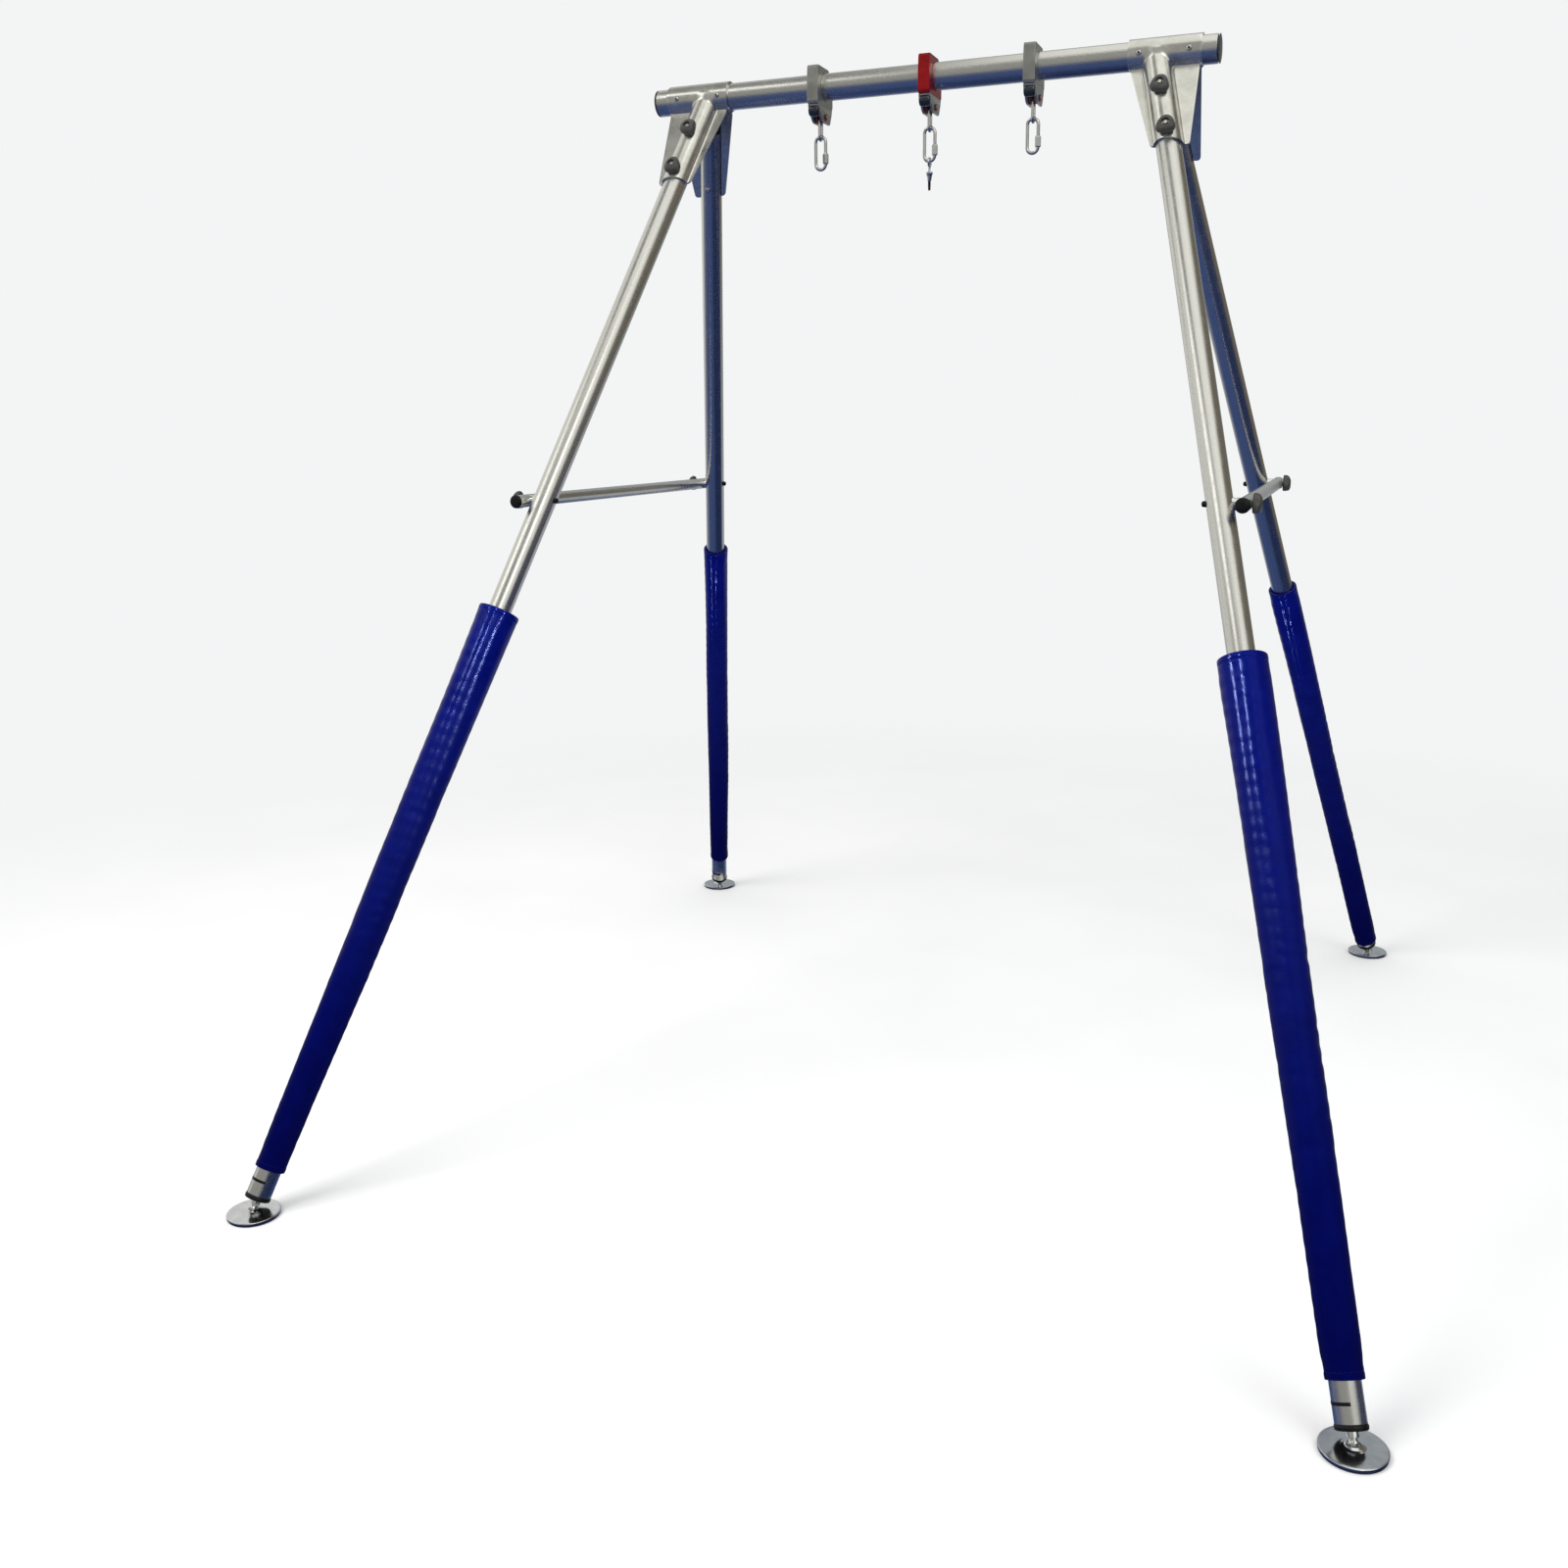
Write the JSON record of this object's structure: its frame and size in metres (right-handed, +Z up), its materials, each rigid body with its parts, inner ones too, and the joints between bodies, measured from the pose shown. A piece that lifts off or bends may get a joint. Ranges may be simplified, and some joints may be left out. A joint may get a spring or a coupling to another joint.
{
  "type": "patient lift hoist frame",
  "caption": "Free-standing four-legged overhead frame for a patient sling or therapy swing, with sliding beam clamps, screw-gate links, padded legs and levelling feet.",
  "frame": {"origin": "on the floor below the middle of the beam", "axes": "+X along the beam, -Y the front, +Z up"},
  "size_m": [2.2484, 2.5198, 2.356],
  "materials": {
    "satin_aluminium": "satin drawn tube with fine lines along its length",
    "cast_aluminium": "fine sand-cast skin, lightly polished",
    "chrome": "bright plated",
    "knob_plastic": "matt moulded, dark grey",
    "plug_plastic": "black moulded",
    "blue_vinyl": "glossy coated fabric over foam, royal blue",
    "clamp_grey": "machined grey anodised",
    "clamp_red": "red anodised",
    "yoke_steel": "brushed plate",
    "bush_red_brown": "red brown bearing plastic on a steel pin"
  },
  "bodies": {
    "root": {"beam_tube": "satin_aluminium", "beam_plug_left": "plug_plastic", "beam_plug_right": "plug_plastic", "brace_left": "satin_aluminium", "brace_right": "satin_aluminium", "bracket_front_left": "cast_aluminium", "leg_front_left": "satin_aluminium", "leg_pad_front_left": "blue_vinyl", "foot_insert_front_left": "plug_plastic", "bracket_front_right": "cast_aluminium", "leg_front_right": "satin_aluminium", "leg_pad_front_right": "blue_vinyl", "foot_insert_front_right": "plug_plastic", "bracket_rear_left": "cast_aluminium", "leg_rear_left": "satin_aluminium", "leg_pad_rear_left": "blue_vinyl", "foot_insert_rear_left": "plug_plastic", "bracket_rear_right": "cast_aluminium", "leg_rear_right": "satin_aluminium", "leg_pad_rear_right": "blue_vinyl", "foot_insert_rear_right": "plug_plastic"},
    "leg_knob_front_left_upper": {"leg_knob_front_left_upper": "knob_plastic"},
    "leg_knob_front_left_lower": {"leg_knob_front_left_lower": "knob_plastic"},
    "foot_stud_front_left": {"foot_stud_front_left": "chrome"},
    "foot_disc_front_left": {"foot_disc_front_left": "chrome"},
    "leg_knob_front_right_upper": {"leg_knob_front_right_upper": "knob_plastic"},
    "leg_knob_front_right_lower": {"leg_knob_front_right_lower": "knob_plastic"},
    "foot_stud_front_right": {"foot_stud_front_right": "chrome"},
    "foot_disc_front_right": {"foot_disc_front_right": "chrome"},
    "leg_knob_rear_left_upper": {"leg_knob_rear_left_upper": "knob_plastic"},
    "leg_knob_rear_left_lower": {"leg_knob_rear_left_lower": "knob_plastic"},
    "foot_stud_rear_left": {"foot_stud_rear_left": "chrome"},
    "foot_disc_rear_left": {"foot_disc_rear_left": "chrome"},
    "leg_knob_rear_right_upper": {"leg_knob_rear_right_upper": "knob_plastic"},
    "leg_knob_rear_right_lower": {"leg_knob_rear_right_lower": "knob_plastic"},
    "foot_stud_rear_right": {"foot_stud_rear_right": "chrome"},
    "foot_disc_rear_right": {"foot_disc_rear_right": "chrome"},
    "brace_knob_front_left": {"brace_knob_front_left": "knob_plastic"},
    "brace_knob_rear_left": {"brace_knob_rear_left": "knob_plastic"},
    "brace_knob_front_right": {"brace_knob_front_right": "knob_plastic"},
    "brace_knob_rear_right": {"brace_knob_rear_right": "knob_plastic"},
    "clamp_left": {"clamp_block_left": "clamp_grey", "clamp_yoke_left": "yoke_steel", "clamp_pin_left": "bush_red_brown"},
    "hanger_left": {"hanger_link_left": "chrome"},
    "quick_link_left": {"quick_link_left": "chrome"},
    "sleeve_nut_left": {"sleeve_nut_left": "yoke_steel"},
    "clamp_center": {"clamp_block_center": "clamp_red", "clamp_yoke_center": "yoke_steel", "clamp_pin_center": "bush_red_brown"},
    "hanger_center": {"hanger_link_center": "chrome"},
    "quick_link_center": {"quick_link_center": "chrome"},
    "sleeve_nut_center": {"sleeve_nut_center": "yoke_steel"},
    "clamp_right": {"clamp_block_right": "clamp_grey", "clamp_yoke_right": "yoke_steel", "clamp_pin_right": "bush_red_brown"},
    "hanger_right": {"hanger_link_right": "chrome"},
    "quick_link_right": {"quick_link_right": "chrome"},
    "sleeve_nut_right": {"sleeve_nut_right": "yoke_steel"},
    "swivel_eye": {"swivel_eye": "chrome"}
  },
  "joints": [
    {"name": "clamp_left_slide", "type": "slide", "parent": "root", "child": "clamp_left", "axis": [1, 0, 0], "range_m": [-0.145, 0.05]},
    {"name": "clamp_center_slide", "type": "slide", "parent": "root", "child": "clamp_center", "axis": [1, 0, 0], "range_m": [-0.025, 0.025]},
    {"name": "clamp_right_slide", "type": "slide", "parent": "root", "child": "clamp_right", "axis": [1, 0, 0], "range_m": [-0.05, 0.13]},
    {"name": "hanger_left_swing", "type": "hinge", "parent": "clamp_left", "child": "hanger_left", "pos_m": [-0.236, 0.004, 2.2535], "axis": [1, 0, 0], "range_deg": [-45, 45]},
    {"name": "hanger_center_swing", "type": "hinge", "parent": "clamp_center", "child": "hanger_center", "pos_m": [0.02, 0.004, 2.2535], "axis": [1, 0, 0], "range_deg": [-45, 45]},
    {"name": "hanger_right_swing", "type": "hinge", "parent": "clamp_right", "child": "hanger_right", "pos_m": [0.25, 0.004, 2.2535], "axis": [1, 0, 0], "range_deg": [-45, 45]},
    {"name": "quick_link_left_swing", "type": "hinge", "parent": "hanger_left", "child": "quick_link_left", "pos_m": [-0.236, 0.004, 2.2067], "axis": [0, 1, 0], "range_deg": [-50, 50]},
    {"name": "quick_link_center_swing", "type": "hinge", "parent": "hanger_center", "child": "quick_link_center", "pos_m": [0.02, 0.004, 2.2067], "axis": [0, 1, 0], "range_deg": [-50, 50]},
    {"name": "quick_link_right_swing", "type": "hinge", "parent": "hanger_right", "child": "quick_link_right", "pos_m": [0.25, 0.004, 2.2067], "axis": [0, 1, 0], "range_deg": [-50, 50]},
    {"name": "sleeve_nut_left_travel", "type": "slide", "parent": "quick_link_left", "child": "sleeve_nut_left", "axis": [0, 0, 1], "range_m": [0, 0.018]},
    {"name": "sleeve_nut_center_travel", "type": "slide", "parent": "quick_link_center", "child": "sleeve_nut_center", "axis": [0, 0, 1], "range_m": [0, 0.018]},
    {"name": "sleeve_nut_right_travel", "type": "slide", "parent": "quick_link_right", "child": "sleeve_nut_right", "axis": [0, 0, 1], "range_m": [0, 0.018]},
    {"name": "swivel_eye_swing", "type": "hinge", "parent": "quick_link_center", "child": "swivel_eye", "pos_m": [0.02, 0.004, 2.14375], "axis": [1, 0, 0], "range_deg": [-60, 60]},
    {"name": "foot_stud_front_left_extend", "type": "slide", "parent": "root", "child": "foot_stud_front_left", "axis": [-0.2127, -0.4537, -0.8654], "range_m": [0, 0.02]},
    {"name": "foot_stud_front_right_extend", "type": "slide", "parent": "root", "child": "foot_stud_front_right", "axis": [0.2127, -0.4537, -0.8654], "range_m": [0, 0.02]},
    {"name": "foot_stud_rear_left_extend", "type": "slide", "parent": "root", "child": "foot_stud_rear_left", "axis": [-0.2127, 0.4537, -0.8654], "range_m": [0, 0.02]},
    {"name": "foot_stud_rear_right_extend", "type": "slide", "parent": "root", "child": "foot_stud_rear_right", "axis": [0.2127, 0.4537, -0.8654], "range_m": [0, 0.02]},
    {"name": "foot_disc_front_left_tilt", "type": "hinge", "parent": "foot_stud_front_left", "child": "foot_disc_front_left", "pos_m": [-1.07019, -1.20587, 0.0155], "axis": [0.9055, -0.4244, 0], "range_deg": [-30, 8]},
    {"name": "foot_disc_front_right_tilt", "type": "hinge", "parent": "foot_stud_front_right", "child": "foot_disc_front_right", "pos_m": [1.07019, -1.20587, 0.0155], "axis": [0.9055, 0.4244, 0], "range_deg": [-30, 8]},
    {"name": "foot_disc_rear_left_tilt", "type": "hinge", "parent": "foot_stud_rear_left", "child": "foot_disc_rear_left", "pos_m": [-1.07019, 1.20587, 0.0155], "axis": [-0.9055, -0.4244, 0], "range_deg": [-30, 8]},
    {"name": "foot_disc_rear_right_tilt", "type": "hinge", "parent": "foot_stud_rear_right", "child": "foot_disc_rear_right", "pos_m": [1.07019, 1.20587, 0.0155], "axis": [-0.9055, 0.4244, 0], "range_deg": [-30, 8]},
    {"name": "leg_knob_front_left_upper_turn", "type": "hinge", "parent": "root", "child": "leg_knob_front_left_upper", "pos_m": [-0.5269, -0.07357, 2.24043], "axis": [0, -0.8857, 0.4643], "continuous": true},
    {"name": "leg_knob_front_left_lower_turn", "type": "hinge", "parent": "root", "child": "leg_knob_front_left_lower", "pos_m": [-0.54796, -0.11849, 2.15476], "axis": [0, -0.8857, 0.4643], "continuous": true},
    {"name": "leg_knob_front_right_upper_turn", "type": "hinge", "parent": "root", "child": "leg_knob_front_right_upper", "pos_m": [0.5269, -0.07357, 2.24043], "axis": [0, -0.8857, 0.4643], "continuous": true},
    {"name": "leg_knob_front_right_lower_turn", "type": "hinge", "parent": "root", "child": "leg_knob_front_right_lower", "pos_m": [0.54796, -0.11849, 2.15476], "axis": [0, -0.8857, 0.4643], "continuous": true},
    {"name": "leg_knob_rear_left_upper_turn", "type": "hinge", "parent": "root", "child": "leg_knob_rear_left_upper", "pos_m": [-0.5269, 0.07357, 2.24043], "axis": [0, 0.8857, 0.4643], "continuous": true},
    {"name": "leg_knob_rear_left_lower_turn", "type": "hinge", "parent": "root", "child": "leg_knob_rear_left_lower", "pos_m": [-0.54796, 0.11849, 2.15476], "axis": [0, 0.8857, 0.4643], "continuous": true},
    {"name": "leg_knob_rear_right_upper_turn", "type": "hinge", "parent": "root", "child": "leg_knob_rear_right_upper", "pos_m": [0.5269, 0.07357, 2.24043], "axis": [0, 0.8857, 0.4643], "continuous": true},
    {"name": "leg_knob_rear_right_lower_turn", "type": "hinge", "parent": "root", "child": "leg_knob_rear_right_lower", "pos_m": [0.54796, 0.11849, 2.15476], "axis": [0, 0.8857, 0.4643], "continuous": true},
    {"name": "brace_knob_front_left_turn", "type": "hinge", "parent": "root", "child": "brace_knob_front_left", "pos_m": [-0.78347, -0.46741, 1.424], "axis": [-1, 0, 0], "continuous": true},
    {"name": "brace_knob_rear_left_turn", "type": "hinge", "parent": "root", "child": "brace_knob_rear_left", "pos_m": [-0.78347, 0.46741, 1.424], "axis": [-1, 0, 0], "continuous": true},
    {"name": "brace_knob_front_right_turn", "type": "hinge", "parent": "root", "child": "brace_knob_front_right", "pos_m": [0.78347, -0.46741, 1.424], "axis": [1, 0, 0], "continuous": true},
    {"name": "brace_knob_rear_right_turn", "type": "hinge", "parent": "root", "child": "brace_knob_rear_right", "pos_m": [0.78347, 0.46741, 1.424], "axis": [1, 0, 0], "continuous": true}
  ]
}
